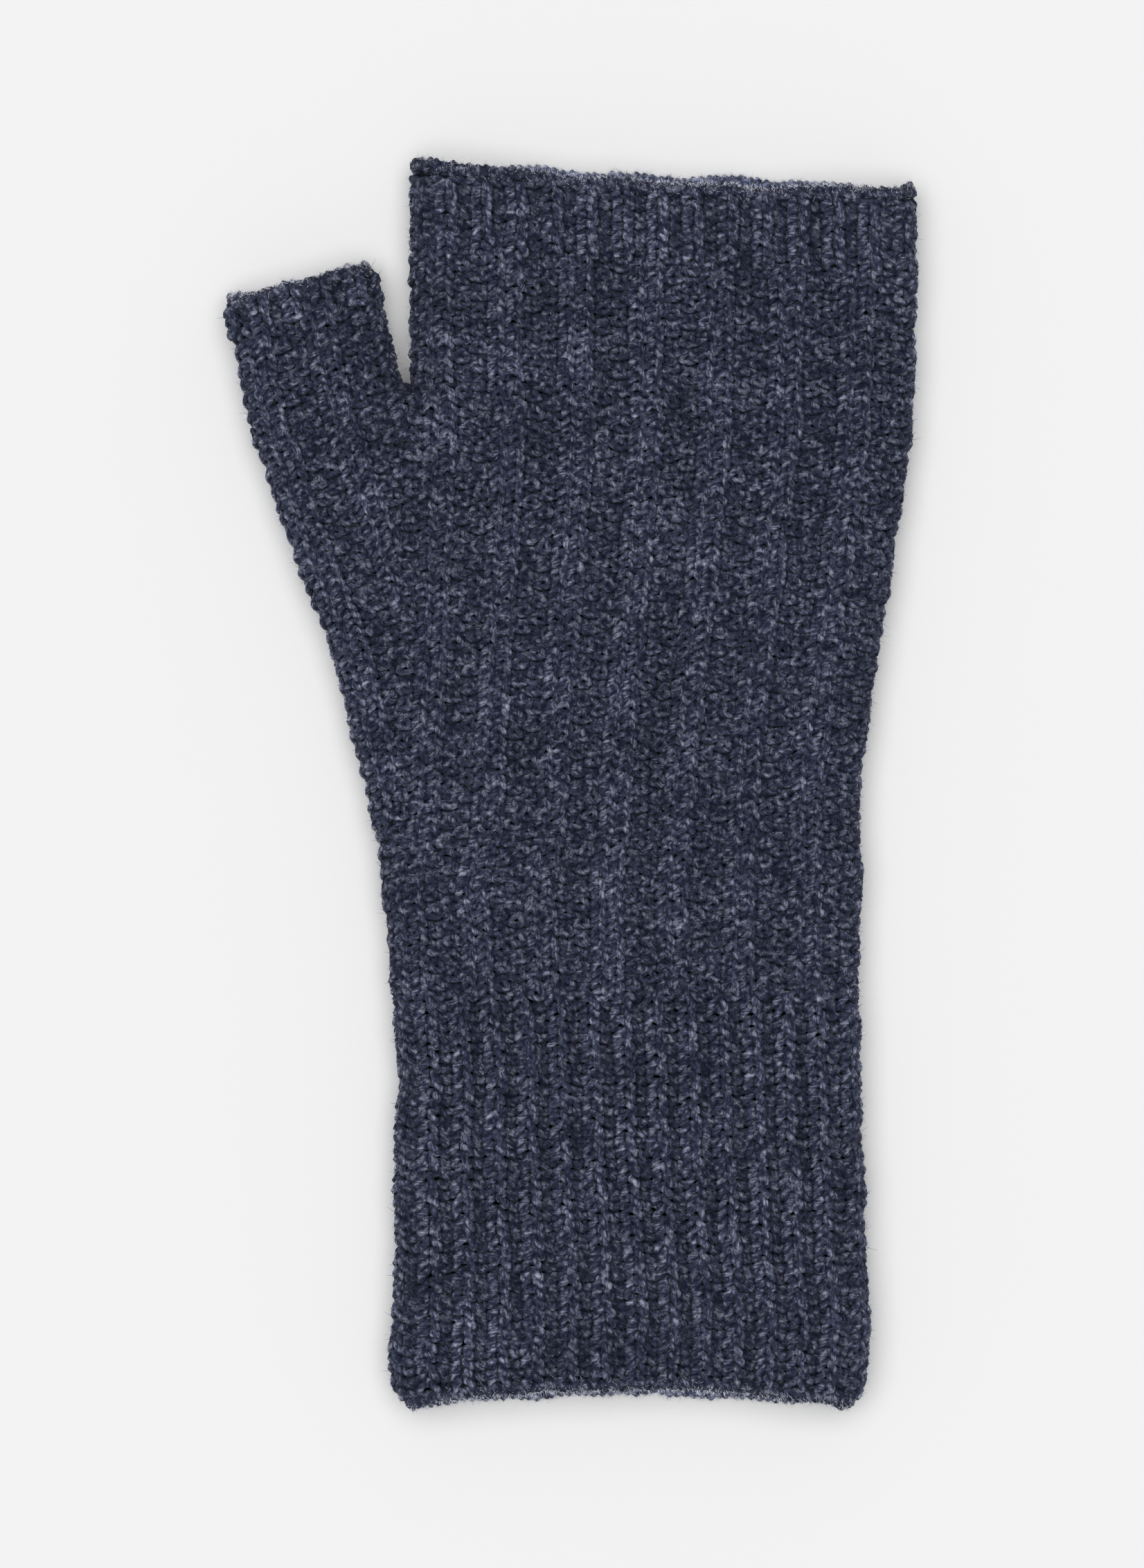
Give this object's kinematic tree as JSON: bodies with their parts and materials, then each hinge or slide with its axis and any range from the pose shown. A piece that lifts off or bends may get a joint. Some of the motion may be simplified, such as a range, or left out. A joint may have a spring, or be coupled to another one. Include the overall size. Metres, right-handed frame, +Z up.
{
  "type": "fingerless glove",
  "caption": "Knitted fingerless glove lying flat, with a long ribbed cuff, an open-ended thumb tube and a ribbed finger opening.",
  "frame": {"origin": "middle of the footprint of the glove lying flat, on the surface it lies on", "axes": "+Y along the glove towards the fingers, +X towards the little finger, +Z up through the back of the hand"},
  "size_m": [0.12, 0.214, 0.012],
  "materials": {
    "wool_knit": "melange wool, knit and moss stitch columns, slightly felted",
    "wool_rib": "melange wool, one-by-one rib, slightly felted",
    "edge_yarn": "melange wool yarn, fuzzy",
    "seam_yarn": "melange wool yarn, linked seam"
  },
  "bodies": {
    "hand": {"hand_back": "wool_knit", "hand_palm": "wool_knit", "finger_band_back": "wool_rib", "finger_band_palm": "wool_rib", "finger_edge": "edge_yarn", "little_finger_seam": "seam_yarn", "index_finger_seam": "seam_yarn", "gusset_seam": "seam_yarn", "crotch_stitches": "seam_yarn", "finger_yarn_end": "edge_yarn"},
    "thumb": {"thumb_back": "wool_knit", "thumb_palm": "wool_knit", "thumb_edge": "edge_yarn", "thumb_outer_seam": "seam_yarn", "thumb_inner_seam": "seam_yarn", "thumb_yarn_end": "edge_yarn"},
    "cuff": {"cuff_back": "wool_rib", "cuff_palm": "wool_rib", "cuff_edge": "edge_yarn", "cuff_little_finger_seam": "seam_yarn", "cuff_thumb_seam": "seam_yarn", "cuff_yarn_end": "edge_yarn"}
  },
  "joints": [
    {"name": "thumb_swing", "type": "hinge", "parent": "hand", "child": "thumb", "pos_m": [-0.0418, 0.0656, 0.006], "axis": [0, 0, 1], "range_deg": [-10, 20]},
    {"name": "wrist_fold", "type": "hinge", "parent": "hand", "child": "cuff", "pos_m": [0.0095, -0.036, 0.012], "axis": [-1, 0, 0], "range_deg": [0, 70]}
  ]
}
